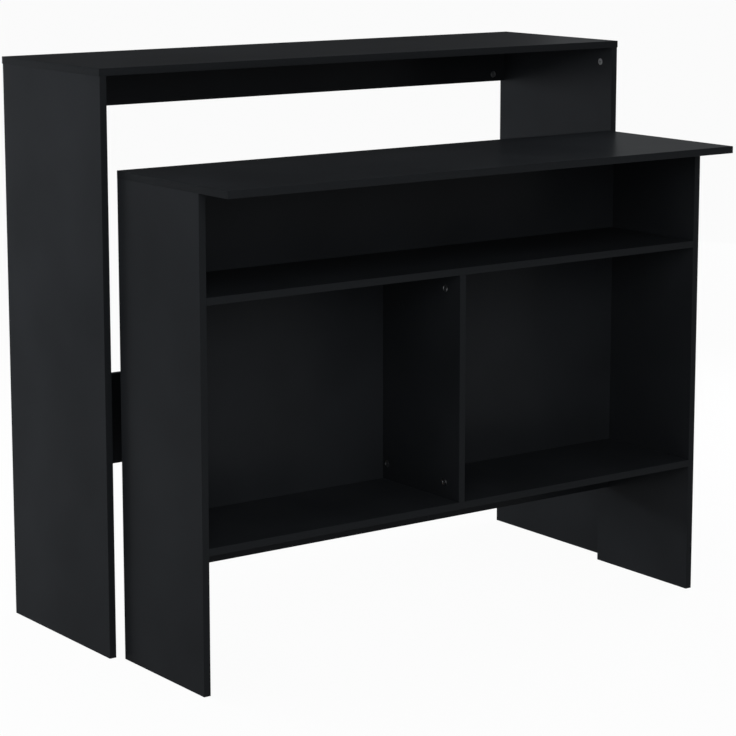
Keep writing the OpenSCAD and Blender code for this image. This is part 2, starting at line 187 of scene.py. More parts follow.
class CamShape(bpy.types.PropertyGroup):
    """Cast zinc cam, open on the side of its bolt"""

    sides: IntProperty(
        name="Sides", description="Sides of the round drum", default=48, min=24, max=96)
    face: FloatProperty(
        name="Face thickness", description="Thickness of the face that carries the cross",
        default=0.0032, unit="LENGTH", min=0.002, max=0.004)
    floor: FloatProperty(
        name="Floor thickness", description="Thickness of the drum's closed end",
        default=0.001, unit="LENGTH", min=0.0005, max=0.002)
    wall: FloatProperty(
        name="Wall thickness", description="Thickness of the drum's wall",
        default=0.002, unit="LENGTH", min=0.001, max=0.003)
    mouth: FloatProperty(
        name="Mouth", description="Angle of the opening on the side of the bolt",
        default=math.radians(82), subtype="ANGLE", min=math.radians(60), max=math.radians(180))
    chamfer: FloatProperty(
        name="Chamfer", description="Chamfer round the drum's face",
        default=0.0004, unit="LENGTH", min=0.0001, max=0.001)
    groove: FloatVectorProperty(
        name="Groove", description="Outer radius, inner radius and depth of the groove round the face",
        default=(0.0064, 0.0051, 0.0003), unit="LENGTH", min=0, max=0.01)
    cross: FloatVectorProperty(
        name="Cross", description="Length, width and depth of the cross-shaped recess",
        default=(0.0074, 0.0021, 0.0026), unit="LENGTH", min=0, max=0.01)
    draft: FloatProperty(
        name="Draft", description="Size of the recess's bottom as a share of its mouth",
        default=0.82, subtype="FACTOR", min=0.5, max=1)
    arrow: FloatProperty(
        name="Arrow", description="Radius of the raised arrow that points to the bolt",
        default=0.0007, unit="LENGTH", min=0.0003, max=0.001)
    colour: FloatVectorProperty(
        name="Zinc", description="Colour of the cast zinc",
        default=(0.48, 0.49, 0.51), subtype="COLOR", min=0, max=1)
    grain: FloatProperty(
        name="Grain size", description="Size of the grains in the cast skin",
        default=0.0006, unit="LENGTH", min=0.0002, max=0.01)
    roughness: FloatVectorProperty(
        name="Roughness", description="Least and most roughness of the zinc",
        size=2, default=(0.28, 0.43), min=0, max=1)


class BoltShape(bpy.types.PropertyGroup):
    """Steel bolt with a wood thread, which a cam pulls on"""

    sides: IntProperty(
        name="Sides", description="Sides of the round bolt", default=24, min=12, max=64)
    shank: FloatProperty(
        name="Shank diameter", description="Diameter of the shank between thread and neck",
        default=0.0076, unit="LENGTH", min=0.006, max=0.008)
    thread_length: FloatProperty(
        name="Thread length", description="Length of the thread in the other board",
        default=0.010, unit="LENGTH", min=0.007, max=0.011)
    shank_length: FloatProperty(
        name="Shank length", description="Length of the shank",
        default=0.024, unit="LENGTH", min=0.018, max=0.024)
    head: FloatVectorProperty(
        name="Head", description="Diameter and length of the head, and diameter of the neck",
        default=(0.0066, 0.004, 0.004), unit="LENGTH", min=0, max=0.01)
    thread: FloatVectorProperty(
        name="Thread", description="Outer diameter, depth and pitch of the thread",
        default=(0.005, 0.0006, 0.0021), unit="LENGTH", min=0, max=0.01)
    ease: FloatProperty(
        name="Ease", description="Chamfer on the bolt's corners",
        default=0.0004, unit="LENGTH", min=0.0001, max=0.001)
    colour: FloatVectorProperty(
        name="Steel", description="Colour of the zinc-plated steel",
        default=(0.5, 0.5, 0.52), subtype="COLOR", min=0, max=1)
    grain: FloatProperty(
        name="Grain size", description="Size of the grains in the plating",
        default=0.0009, unit="LENGTH", min=0.0002, max=0.01)
    roughness: FloatVectorProperty(
        name="Roughness", description="Least and most roughness of the steel",
        size=2, default=(0.25, 0.4), min=0, max=1)


class DowelShape(bpy.types.PropertyGroup):
    """Fluted beech dowel"""

    flutes: IntProperty(
        name="Flutes", description="Grooves pressed round the dowel", default=20, min=8, max=40)
    depth: FloatProperty(
        name="Flute depth", description="Depth of the pressed grooves",
        default=0.00025, unit="LENGTH", min=0, max=0.001)
    chamfer: FloatProperty(
        name="Chamfer", description="Chamfer at the dowel's ends",
        default=0.001, unit="LENGTH", min=0.0002, max=0.002)
    dark: FloatVectorProperty(
        name="Dark beech", description="Beech in its dark flecks",
        default=(0.42, 0.25, 0.13), subtype="COLOR", min=0, max=1)
    light: FloatVectorProperty(
        name="Light beech", description="Beech between its flecks",
        default=(0.66, 0.47, 0.29), subtype="COLOR", min=0, max=1)
    fleck: FloatProperty(
        name="Fleck width", description="Width of the dark flecks",
        default=0.0012, unit="LENGTH", min=0.0003, max=0.01)
    fleck_shape: FloatProperty(
        name="Fleck shape", description="Width of a fleck as a share of its length",
        default=0.25, subtype="FACTOR", min=0.05, max=1)
    fleck_depth: FloatProperty(
        name="Fleck depth", description="Relief of the flecks",
        default=0.00003, unit="LENGTH", min=0, max=0.001)
    roughness: FloatVectorProperty(
        name="Roughness", description="Least and most roughness of the beech",
        size=2, default=(0.55, 0.7), min=0, max=1)
    shine: FloatProperty(
        name="Shine", description="Specular level of the bare beech",
        default=0.3, subtype="FACTOR", min=0, max=1)


class StudioSetup(bpy.types.PropertyGroup):
    """White floor and backdrop, soft lamps, and the camera of the photograph"""

    camera_place: FloatVectorProperty(
        name="Camera place", description="Where the camera stands",
        default=(-3.1625, -4.3066, 1.5939), subtype="XYZ", unit="LENGTH")
    yaw: FloatProperty(
        name="Yaw", description="How far the camera is turned to the right of the tables' depth",
        default=math.radians(36.105), subtype="ANGLE")
    pitch: FloatProperty(
        name="Pitch", description="How far the camera looks down",
        default=math.radians(9.7346), subtype="ANGLE")
    lens: FloatProperty(
        name="Lens", description="Focal length in millimetres on a 36 mm wide sensor",
        default=123.82, min=20, max=300)
    shift: FloatVectorProperty(
        name="Shift", description="Sideways and upward shift of the lens, in frame widths",
        size=2, default=(-0.0048, -0.0944))
    floor_size: FloatProperty(
        name="Floor size", description="Length of the white floor's sides",
        default=120.0, unit="LENGTH", min=10, max=500)
    floor_colour: FloatVectorProperty(
        name="Floor colour", description="Colour of the pale floor",
        default=(0.6, 0.6, 0.6), subtype="COLOR", min=0, max=1)
    floor_glow: FloatProperty(
        name="Floor white", description="Share of plain white in the floor that the camera sees",
        default=0.96, subtype="FACTOR", min=0, max=1)
    mirrored_glow: FloatProperty(
        name="Mirrored white", description="Share of plain white in the floor that gloss mirrors",
        default=0.7, subtype="FACTOR", min=0, max=1)
    backdrop_top: FloatVectorProperty(
        name="Backdrop's upper edge", description="Sines of the angles at which the white backdrop starts "
        "and stops fading into the studio's ceiling",
        size=2, default=(0.0, 0.1))
    tint: FloatVectorProperty(
        name="Light tint", description="Colour of the lamps and of the studio's walls",
        default=(0.94, 0.975, 1.0), subtype="COLOR", min=0, max=1)
    ambient: FloatProperty(
        name="Ambient", description="Brightness of the studio's walls and ceiling as a light",
        default=0.15, min=0, max=2)
    ceiling: FloatProperty(
        name="Ceiling", description="Brightness of the studio's ceiling where gloss mirrors it",
        default=0.28, min=0, max=2)
    lamp_aim: FloatVectorProperty(
        name="Lamp aim", description="Point that the soft lamps are turned to",
        default=(0.0, 0.1, 0.85), subtype="XYZ", unit="LENGTH")


def lamp_settings(lamp, what, place, size, power):
    """The settings of one lamp, by name"""
    title = lamp.capitalize()
    return {
        f"{lamp}_place": FloatVectorProperty(
            name=f"{title} lamp", description=f"Middle of {what}",
            default=place, subtype="XYZ", unit="LENGTH"),
        f"{lamp}_size": FloatProperty(
            name=f"{title} size", description=f"Length of the sides of {what}",
            default=size, unit="LENGTH", min=0.1, max=10),
        f"{lamp}_power": FloatProperty(
            name=f"{title} power", description=f"Power of {what}",
            default=power, unit="POWER", min=0, max=5000),
    }


for lamp_name, lamp_values in LAMPS.items():
    StudioSetup.__annotations__.update(lamp_settings(lamp_name, *lamp_values))


class BarTable(bpy.types.PropertyGroup):
    """Everything that can be set on the bar table"""

    boards: PointerProperty(type=BoardFinish)
    edging: PointerProperty(type=EdgingShape)
    cams: PointerProperty(type=CamShape)
    bolts: PointerProperty(type=BoltShape)
    dowels: PointerProperty(type=DowelShape)
    studio: PointerProperty(type=StudioSetup)


# What the makers of pieces share
def nodes_in_slot(slot):
    """The frame's nodes that have a finish, in the record's order"""
    return [node for node, name in SLOTS.items() if name == slot]


def solids(node):
    """The lowest and highest corner of each separate solid in one of the frame's nodes"""
    copy = bmesh.new()
    copy.from_mesh(frame["nodes"][node].data)
    bmesh.ops.remove_doubles(copy, verts=copy.verts, dist=MERGE_DISTANCE)
    found = []
    for start in copy.verts:
        if start.tag:
            continue
        start.tag = True
        reached = [start]
        for vert in reached:
            for edge in vert.link_edges:
                other = edge.other_vert(vert)
                if not other.tag:
                    other.tag = True
                    reached.append(other)
        low = Vector(min(v.co[k] for v in reached) for k in range(3))
        high = Vector(max(v.co[k] for v in reached) for k in range(3))
        found.append((low, high))
    copy.free()
    return found


def placing(into, face, point):
    """Matrix that puts +X on the way into a board, +Z on the way its cams face, and the origin on a point"""
    side = face.cross(into)
    turn = Matrix((into, side, face)).transposed().to_4x4()
    return Matrix.Translation(point) @ turn


def finish_mesh(bm, name):
    """Turns a bmesh into a mesh with outward faces, smooth but for its corners"""
    bmesh.ops.recalc_face_normals(bm, faces=bm.faces)
    mesh = bpy.data.meshes.new(name)
    bm.to_mesh(mesh)
    bm.free()
    mesh.polygons.foreach_set("use_smooth", [True] * len(mesh.polygons))
    mesh.set_sharp_from_angle(angle=WIDEST_ARRIS_ANGLE)
    return mesh


def copies(mesh, places, name, slots=None):
    """One mesh with a copy of another at each place, each with its material slot"""
    bm = bmesh.new()
    for place, slot in zip(places, slots or [0] * len(places)):
        first_vert = len(bm.verts)
        first_face = len(bm.faces)
        bm.from_mesh(mesh)
        bm.verts.ensure_lookup_table()
        bm.faces.ensure_lookup_table()
        bmesh.ops.transform(bm, matrix=place, verts=bm.verts[first_vert:])
        for face in bm.faces[first_face:]:
            face.material_index = slot
    return finish_mesh(bm, name)


def add_piece(name, mesh, materials, node):
    """Puts a new piece in the scene in place of one of the frame's nodes"""
    piece = bpy.data.objects.new(name, mesh)
    bpy.context.scene.collection.objects.link(piece)
    for material in materials:
        mesh.materials.append(material)
    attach(piece, BODIES[node])
    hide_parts(node)
    return piece


def moved(bm, result, offset, scale=1.0):
    """Scales what an extrusion made round the Z axis, moves it, and returns its edges"""
    verts = [part for part in result["geom"] if isinstance(part, bmesh.types.BMVert)]
    bmesh.ops.scale(bm, vec=(scale, scale, 1), verts=verts)
    bmesh.ops.translate(bm, vec=offset, verts=verts)
    return [part for part in result["geom"] if isinstance(part, bmesh.types.BMEdge)]


def turned(bm, profile, sides):
    """Spins a profile of places along X and radii round the X axis"""
    verts = [bm.verts.new((along, radius, 0)) for along, radius in profile]
    edges = [bm.edges.new(pair) for pair in zip(verts, verts[1:])]
    bmesh.ops.spin(
        bm, geom=verts + edges, cent=(0, 0, 0), axis=(1, 0, 0), angle=math.tau, steps=sides, use_merge=True)
    bmesh.ops.remove_doubles(bm, verts=bm.verts, dist=MERGE_DISTANCE)


# Materials
def combined(tree, operation, first, second):
    """One sum in a node tree, on a socket and either a socket or a number"""
    node = tree.nodes.new("ShaderNodeMath")
    node.operation = operation
    tree.links.new(first, node.inputs[0])
    if isinstance(second, bpy.types.NodeSocket):
        tree.links.new(second, node.inputs[1])
    else:
        node.inputs[1].default_value = second
    return node.outputs["Value"]


class Finish:
    """A material's nodes, with short ways to add and join them"""

    def __init__(self, name):
        self.material = bpy.data.materials.new(name)
        self.material.use_nodes = True
        self.tree = self.material.node_tree
        self.shader = self.tree.nodes["Principled BSDF"]
        self.place = self.tree.nodes.new("ShaderNodeTexCoord").outputs["Object"]

    def link(self, source, target):
        """Joins one socket to another"""
        self.tree.links.new(source, target)

    def stretched(self, scale):
        """Object coordinates scaled along each axis"""
        mapping = self.tree.nodes.new("ShaderNodeMapping")
        mapping.inputs["Scale"].default_value = scale
        self.link(self.place, mapping.inputs["Vector"])
        return mapping.outputs["Vector"]

    def noise(self, size, detail=MIDDLE_DETAIL, place=None):
        """Soft noise with patches of one size, from 0 to 1"""
        node = self.tree.nodes.new("ShaderNodeTexNoise")
        node.inputs["Scale"].default_value = 1 / size
        node.inputs["Detail"].default_value = detail
        self.link(place or self.place, node.inputs["Vector"])
        return node.outputs["Fac"]

    def cells(self, size):
        """Cells of one size, each with a factor of its own from 0 to 1"""
        node = self.tree.nodes.new("ShaderNodeTexVoronoi")
        node.inputs["Scale"].default_value = 1 / size
        self.link(self.place, node.inputs["Vector"])
        tone = self.tree.nodes.new("ShaderNodeRGBToBW")
        self.link(node.outputs["Color"], tone.inputs["Color"])
        return tone.outputs["Val"]

    def ranged(self, source, low, high):
        """A factor spread over a range of numbers"""
        node = self.tree.nodes.new("ShaderNodeMapRange")
        node.inputs["From Min"].default_value, node.inputs["From Max"].default_value = NOISE_SPAN
        node.inputs["To Min"].default_value = low
        node.inputs["To Max"].default_value = high
        self.link(source, node.inputs["Value"])
        return node.outputs["Result"]

    def tones(self, source, dark, light):
        """A factor spread over two colours"""
        node = self.tree.nodes.new("ShaderNodeValToRGB")
        for element, position, colour in zip(node.color_ramp.elements, NOISE_SPAN, (dark, light)):
            element.position = position
            element.color = (*colour, 1)
        self.link(source, node.inputs["Fac"])
        return node.outputs["Color"]

    def mixed(self, data_type, factor, first, second):
        """Two sockets of the same kind, mixed by a factor"""
        node = self.tree.nodes.new("ShaderNodeMix")
        node.data_type = data_type
        sockets = [socket for socket in node.inputs if socket.enabled and socket.name in "AB"]
        self.link(factor, node.inputs["Factor"])
        self.link(first, sockets[0])
        self.link(second, sockets[1])
        return next(socket for socket in node.outputs if socket.enabled)

    def bump(self, height, depth):
        """Relief from a height between 0 and 1, as deep as the real one"""
        node = self.tree.nodes.new("ShaderNodeBump")
        node.inputs["Strength"].default_value = 1.0
        node.inputs["Distance"].default_value = depth
        self.link(height, node.inputs["Height"])
        self.link(node.outputs["Normal"], self.shader.inputs["Normal"])
        self.link(node.outputs["Normal"], self.shader.inputs["Coat Normal"])

    def set(self, **values):
        """Numbers and colours that are the same all over"""
        for name, value in values.items():
            self.shader.inputs[name.replace("_", " ")].default_value = value


def board_material(node, look):
    """Melamine on a board's two faces, and chipboard wherever it is cut deeper than its facing"""
    low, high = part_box(node)
    size = high - low
    axis = min(range(3), key=lambda k: size[k])
    finish = Finish(f"melamine_{node}")
    split = finish.tree.nodes.new("ShaderNodeSeparateXYZ")
    finish.link(finish.place, split.inputs["Vector"])
    off_middle = combined(finish.tree, "SUBTRACT", split.outputs[axis], (low[axis] + high[axis]) / 2)
    off_middle = combined(finish.tree, "ABSOLUTE", off_middle, 0)
    faced = combined(finish.tree, "GREATER_THAN", off_middle, size[axis] / 2 - look.facing)

    mottle = finish.noise(look.mottle)
    pearl = finish.noise(look.pearl, detail=SOFT_DETAIL)
    chips = finish.cells(look.chip)

    black = finish.tones(mottle, look.dark, look.light)
    core = finish.tones(chips, look.chip_dark, look.chip_light)
    colour = finish.mixed("RGBA", faced, core, black)
    finish.link(colour, finish.shader.inputs["Base Color"])
    satin = finish.ranged(mottle, look.smoothest, look.roughest)
    matte = finish.ranged(chips, *look.chip_roughness)
    rough = finish.mixed("FLOAT", faced, matte, satin)
    finish.link(rough, finish.shader.inputs["Roughness"])
    finish.bump(finish.mixed("FLOAT", faced, chips, pearl), look.pearl_depth)
    finish.set(Specular_IOR_Level=0.0, Coat_Weight=look.gloss, Coat_Roughness=look.resin_roughness)
    return finish.material


def edging_material(look):
    """Black edging with a fine-grained skin, in tones darker than the facing's as painted shade on the front
    edges
    """
    finish = Finish("black_edging")
    grain = finish.noise(look.grain, detail=SOFT_DETAIL)
    # The edging's tones are darker than the facing's, which paints shade on the front edges
    finish.link(finish.tones(grain, look.dark, look.light), finish.shader.inputs["Base Color"])
    rough = finish.ranged(grain, look.roughness - look.unevenness, look.roughness + look.unevenness)
    finish.link(rough, finish.shader.inputs["Roughness"])
    finish.bump(grain, look.grain / EDGING_FLATNESS)
    finish.set(Specular_IOR_Level=0.0, Coat_Weight=look.gloss, Coat_Roughness=look.roughness)
    return finish.material


def metal_material(name, look):
    """Plated or cast metal with a fine uneven skin"""
    finish = Finish(name)
    skin = finish.noise(look.grain, detail=FINE_DETAIL)
    dark = [DARK_METAL * part for part in look.colour]
    finish.link(finish.tones(skin, dark, look.colour), finish.shader.inputs["Base Color"])
    finish.link(finish.ranged(skin, *look.roughness), finish.shader.inputs["Roughness"])
    finish.bump(skin, look.grain / METAL_FLATNESS)
    finish.set(Metallic=1.0)
    return finish.material


def beech_material(look, axis):
    """Beech with its short dark flecks along the grain, which runs along one axis"""
    finish = Finish(f"beech_along_{'xyz'[axis]}")
    along_grain = finish.stretched([look.fleck_shape if k == axis else 1 for k in range(3)])
    flecks = finish.noise(look.fleck, detail=FINE_DETAIL, place=along_grain)
    finish.link(finish.tones(flecks, look.light, look.dark), finish.shader.inputs["Base Color"])
    finish.link(finish.ranged(flecks, *look.roughness), finish.shader.inputs["Roughness"])
    finish.bump(flecks, look.fleck_depth)
    finish.set(Specular_IOR_Level=look.shine)
    return finish.material


class BARTABLE_OT_boards(bpy.types.Operator):
    """Give each board its black facing and its chipboard core"""

    bl_idname = "bar_table.boards"
    bl_label = "Finish the boards"

    def execute(self, context):
        look = context.scene.bar_table.boards
        for node in nodes_in_slot("melamine_board"):
            mesh = frame["nodes"][node].data
            mesh.materials.clear()
            mesh.materials.append(board_material(node, look))
        return {"FINISHED"}


class BARTABLE_OT_edging(bpy.types.Operator):
    """Make the strips of edging, flush with their boards and eased at their free corners"""

    bl_idname = "bar_table.edging"
    bl_label = "Make the edging"

    def outward(self, low, high, boards):
        """The thin axis of a strip, and the side of it that faces away from its board"""
        axis = min(range(3), key=lambda k: high[k] - low[k])
        for board_low, board_high in boards:
            beside = all(
                low[k] > board_low[k] - STRIP_REACH and high[k] < board_high[k] + STRIP_REACH
                for k in range(3) if k != axis
            )
            if beside and abs(high[axis] - board_low[axis]) < TOUCH:
                return axis, -1
            if beside and abs(low[axis] - board_high[axis]) < TOUCH:
                return axis, 1
        raise RuntimeError("a strip of edging lies on no board")

    def strip(self, bm, low, high, axis, side, ends, look):
        """One strip, with its long outer edges and its free ends eased"""
        size = high - low
        made = bmesh.ops.create_cube(
            bm, size=1, matrix=Matrix.Translation((low + high) / 2) @ Matrix.Diagonal((*size, 1)))
        outer = high[axis] if side > 0 else low[axis]
        along = max(range(3), key=lambda k: size[k])
        eased = []
        for edge in {edge for vert in made["verts"] for edge in vert.link_edges}:
            first, second = (vert.co for vert in edge.verts)
            if abs(first[axis] - outer) > TOUCH or abs(second[axis] - outer) > TOUCH:
                continue
            runs_along = abs(first[along] - second[along]) > TOUCH
            free_end = any(abs(first[along] - end[along]) < TOUCH for end in ends)
            if runs_along or free_end:
                eased.append(edge)

        # In order of place, so that each run makes the same mesh
        eased.sort(key=lambda edge: tuple(sum((vert.co for vert in edge.verts), Vector())))
        bmesh.ops.bevel(
            bm, geom=eased, offset=look.arris, offset_type="OFFSET", segments=ARRIS_SEGMENTS,
            profile=ROUND_PROFILE, affect="EDGES", material=-1)

    def execute(self, context):
        look = context.scene.bar_table.edging
        material = edging_material(look)
        for table in TABLES:
            node = f"{table}_edging"
            boards = [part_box(name) for name in nodes_in_slot("melamine_board") if name.startswith(table)]
            strips = solids(node)
            ends = (
                Vector(min(low[k] for low, high in strips) - look.corner_gap for k in range(3)),
                Vector(max(high[k] for low, high in strips) + look.corner_gap for k in range(3)),
            )
            bm = bmesh.new()
            for low, high in strips:
                axis, side = self.outward(low, high, boards)
                grow = Vector(0 if k == axis else look.corner_gap for k in range(3))
                self.strip(bm, low - grow, high + grow, axis, side, ends, look)
            add_piece(f"{table}_edging_strips", finish_mesh(bm, node), [material], node)
        return {"FINISHED"}


def cam_mesh(look, radius, height):
    """A cam with its face on z = 0, its drum below, and its mouth towards -X"""
    bm = bmesh.new()
    inner = radius - look.wall
    hollow_low = look.floor - height
    hollow_high = -look.face

    def disc(z):
        """The rim of a flat disc made of a ring over the wall and a cap over the hollow"""
        made = bmesh.ops.create_circle(
            bm, radius=radius, segments=look.sides, matrix=Matrix.Translation((0, 0, z)))
        rim = [edge for vert in made["verts"] for edge in vert.link_edges if edge.verts[0] == vert]
        made = bmesh.ops.extrude_edge_only(bm, edges=rim)
        bmesh.ops.contextual_create(bm, geom=moved(bm, made, (0, 0, 0), inner / radius))
        return rim

    def walled(face, z):
        """Whether a face of the ring at some height lies over the wall, and not over the mouth"""
        middle = face.calc_center_median()
        flat = middle.xy.length
        from_mouth = abs(math.atan2(middle.y, -middle.x))
        return abs(middle.z - z) < TOUCH and inner < flat < radius and from_mouth > look.mouth / 2

    def within(size):
        """The faces at the cam's surface that lie in a circle of some radius round its axis"""
        middles = [(face, face.calc_center_bounds()) for face in bm.faces]
        return [face for face, middle in middles if abs(middle.z) < TOUCH and middle.xy.length < size]

    # The floor, and the wall that stands on it
    disc(-height)
    made = bmesh.ops.extrude_face_region(bm, geom=bm.faces[:])
    moved(bm, made, (0, 0, look.floor))
    on_floor = [face for face in bm.faces if walled(face, hollow_low)]
    made = bmesh.ops.extrude_face_region(bm, geom=on_floor)
    bmesh.ops.delete(bm, geom=on_floor, context="FACES")
    moved(bm, made, (0, 0, hollow_high - hollow_low))
    wall_tops = [face for face in bm.faces if walled(face, hollow_high)]
    bmesh.ops.delete(bm, geom=wall_tops, context="FACES")

    # The face plate, joined to the wall, with its chamfer and its groove
    rim = disc(hollow_high)
    over_wall = [face for face in bm.faces if walled(face, hollow_high)]
    outer_groove, inner_groove, groove_depth = look.groove
    steps = (
        (radius, look.face - look.chamfer),
        (radius - look.chamfer, look.chamfer),
        (outer_groove, 0),
        (outer_groove - groove_depth, -groove_depth),
        (inner_groove + groove_depth, 0),
        (inner_groove, groove_depth),
    )
    size = radius
    for new_size, rise in steps:
        made = bmesh.ops.extrude_edge_only(bm, edges=rim)
        rim = moved(bm, made, (0, 0, rise), new_size / size)
        size = new_size
    bmesh.ops.delete(bm, geom=over_wall, context="FACES")
    bmesh.ops.remove_doubles(bm, verts=bm.verts, dist=MERGE_DISTANCE)

    # The cross: the middle of the face is cut along the cross's sides, and the cells inside it are sunk
    length, width, depth = look.cross
    turn = Matrix.Rotation(math.pi / 4, 3, "Z")
    bmesh.ops.contextual_create(bm, geom=rim)
    for across in (turn @ Vector((1, 0, 0)), turn @ Vector((0, 1, 0))):
        for reach in (-length / 2, -width / 2, width / 2, length / 2):
            cells = within(inner_groove)
            sides = dict.fromkeys(edge for face in cells for edge in face.edges)
            ends = dict.fromkeys(vert for face in cells for vert in face.verts)
            bmesh.ops.bisect_plane(
                bm, geom=[*cells, *sides, *ends], dist=MERGE_DISTANCE,
                plane_co=across * reach, plane_no=across)
    sunk = []
    for face in within(inner_groove):
        one, other = sorted(abs(part) for part in (turn.inverted() @ face.calc_center_bounds()).xy)
        if one < width / 2 and other < length / 2:
            sunk.append(face)
    made = bmesh.ops.extrude_face_region(bm, geom=sunk)
    bmesh.ops.delete(bm, geom=sunk, context="FACES")
    moved(bm, made, (0, 0, -depth), look.draft)

    # The arrow, which stands in the groove, a little below its floor, and reaches the face's height
    middle = -(outer_groove + inner_groove) / 2
    arrow_height = 2 * groove_depth
    at = Matrix.Translation((middle, 0, -arrow_height)) @ Matrix.Rotation(math.pi / 2, 4, "Z")
    made = bmesh.ops.create_circle(bm, cap_ends=True, radius=look.arrow, segments=ARROW_SIDES, matrix=at)
    faces = list({face for vert in made["verts"] for face in vert.link_faces})
    made = bmesh.ops.extrude_face_region(bm, geom=faces)
    moved(bm, made, (0, 0, arrow_height))
    return finish_mesh(bm, "cam")


def ways(node):
    """For each cam of a joint, the way to it from its bolt, the way it faces, its middle and its bolt's"""
    cams = solids(node.replace("_bolts", "_cams"))
    bolts = solids(node.replace("_cams", "_bolts"))
    found = []
    for low, high in cams:
        middle = (low + high) / 2
        size = high - low
        axis = min(range(3), key=lambda k: size[k])
        bolt = min(((a + b) / 2 for a, b in bolts), key=lambda place: (place - middle).length)
        face = Vector((0, 0, 0))
        face[axis] = 1 if high[axis] - bolt[axis] > bolt[axis] - low[axis] else -1
        into = middle - bolt
        into[axis] = 0
        into.normalize()
        into = Vector(round(part) for part in into)
        found.append((into, face, middle, bolt))
    return found


class BARTABLE_OT_cams(bpy.types.Operator):
    """Make the cast cams, each with its mouth turned to its bolt"""

    bl_idname = "bar_table.cams"
    bl_label = "Make the cams"

    def execute(self, context):
        look = context.scene.bar_table.cams
        material = metal_material("cast_zinc", look)
        for node in nodes_in_slot("cam_zinc"):
            low, high = solids(node)[0]
            height, diameter = sorted(high - low)[:2]
            places = [placing(into, face, cam + face * height / 2) for into, face, cam, bolt in ways(node)]
            mesh = copies(cam_mesh(look, diameter / 2, height), places, node)
            add_piece(f"{node}_cast", mesh, [material], node)
        return {"FINISHED"}


def bolt_mesh(look, length):
    """A bolt along +X, with the end of its thread at the origin"""
    bm = bmesh.new()
    head_d, head_l, neck_d = look.head
    outer_d, depth, pitch = look.thread
    shank_x = look.thread_length + look.shank_length
    head_x = length - head_l
    core = outer_d / 2 - depth
    ease = look.ease
    tip_ease = 3 * ease
    turned(bm, [
        (0, 0), (0, core - ease), (ease, core), (look.thread_length, core),
        (look.thread_length, look.shank / 2 - ease), (look.thread_length + ease, look.shank / 2),
        (shank_x - ease, look.shank / 2), (shank_x, look.shank / 2 - ease), (shank_x, neck_d / 2),
        (head_x, neck_d / 2), (head_x + ease, head_d / 2), (length - tip_ease, head_d / 2),
        (length, head_d / 2 - tip_ease), (length, 0),
    ], look.sides)

    # The thread, a ridge spun along the core, one turn short of its length to leave room for its own width
    turns = (look.thread_length - 2 * ease) / pitch - 1
    ridge = [(ease, core - depth / 2), (ease + pitch / 2, core - depth / 2), (ease + pitch / 4, outer_d / 2)]
    verts = [bm.verts.new((along, radius, 0)) for along, radius in ridge]
    edges = [bm.edges.new(pair) for pair in zip(verts, verts[1:] + verts[:1])]
    steps = round(turns * look.sides)
    bmesh.ops.spin(
        bm, geom=verts + edges, cent=(0, 0, 0), axis=(1, 0, 0), dvec=(pitch * turns / steps, 0, 0),
        angle=math.tau * turns, steps=steps)
    ends = [edge for edge in bm.edges if edge.is_boundary]
    bmesh.ops.holes_fill(bm, edges=ends, sides=len(ridge))
    return finish_mesh(bm, "bolt")


class BARTABLE_OT_bolts(bpy.types.Operator):
    """Make the bolts that the cams pull on"""

    bl_idname = "bar_table.bolts"
    bl_label = "Make the bolts"

    def execute(self, context):
        look = context.scene.bar_table.bolts
        material = metal_material("plated_steel", look)
        for node in nodes_in_slot("bolt_steel"):
            low, high = solids(node)[0]
            length = max(high - low)
            places = [placing(into, face, bolt - into * length / 2) for into, face, cam, bolt in ways(node)]
            mesh = copies(bolt_mesh(look, length), places, node)
            add_piece(f"{node}_turned", mesh, [material], node)
        return {"FINISHED"}


def dowel_mesh(look, radius, length):
    """A fluted dowel along +X, with its middle at the origin"""
    bm = bmesh.new()
    end = length / 2
    ease = look.chamfer
    turned(bm, [
        (-end, 0), (-end, radius - ease), (ease - end, radius),
        (end - ease, radius), (end, radius - ease), (end, 0),
    ], 2 * look.flutes)
    step = math.pi / look.flutes
    pressed = [
        vert for vert in bm.verts
        if vert.co.yz.length > radius - ease / 2
        and round(math.atan2(vert.co.z, vert.co.y) / step) % 2
    ]
    share = (radius - look.depth) / radius
    bmesh.ops.scale(bm, vec=(1, share, share), verts=pressed)
    return finish_mesh(bm, "dowel")


class BARTABLE_OT_dowels(bpy.types.Operator):
    """Make the fluted dowels"""

    bl_idname = "bar_table.dowels"
    bl_label = "Make the dowels"

    def execute(self, context):
        look = context.scene.bar_table.dowels
        beech = {}
        for node in nodes_in_slot("dowel_beech"):
            found = solids(node)
            size = found[0][1] - found[0][0]
            places = []
            axes = []
            for low, high in found:
                axis = max(range(3), key=lambda k: (high - low)[k])
                along, up = (Vector(1 if k == way % 3 else 0 for k in range(3)) for way in (axis, axis + 1))
                places.append(placing(along, up, (low + high) / 2))
                axes.append(axis)
                if axis not in beech:
                    beech[axis] = beech_material(look, axis)
            worn = sorted(set(axes))
            slots = [worn.index(axis) for axis in axes]
            mesh = copies(dowel_mesh(look, min(size) / 2, max(size)), places, node, slots)
            add_piece(f"{node}_fluted", mesh, [beech[axis] for axis in worn], node)
        return {"FINISHED"}


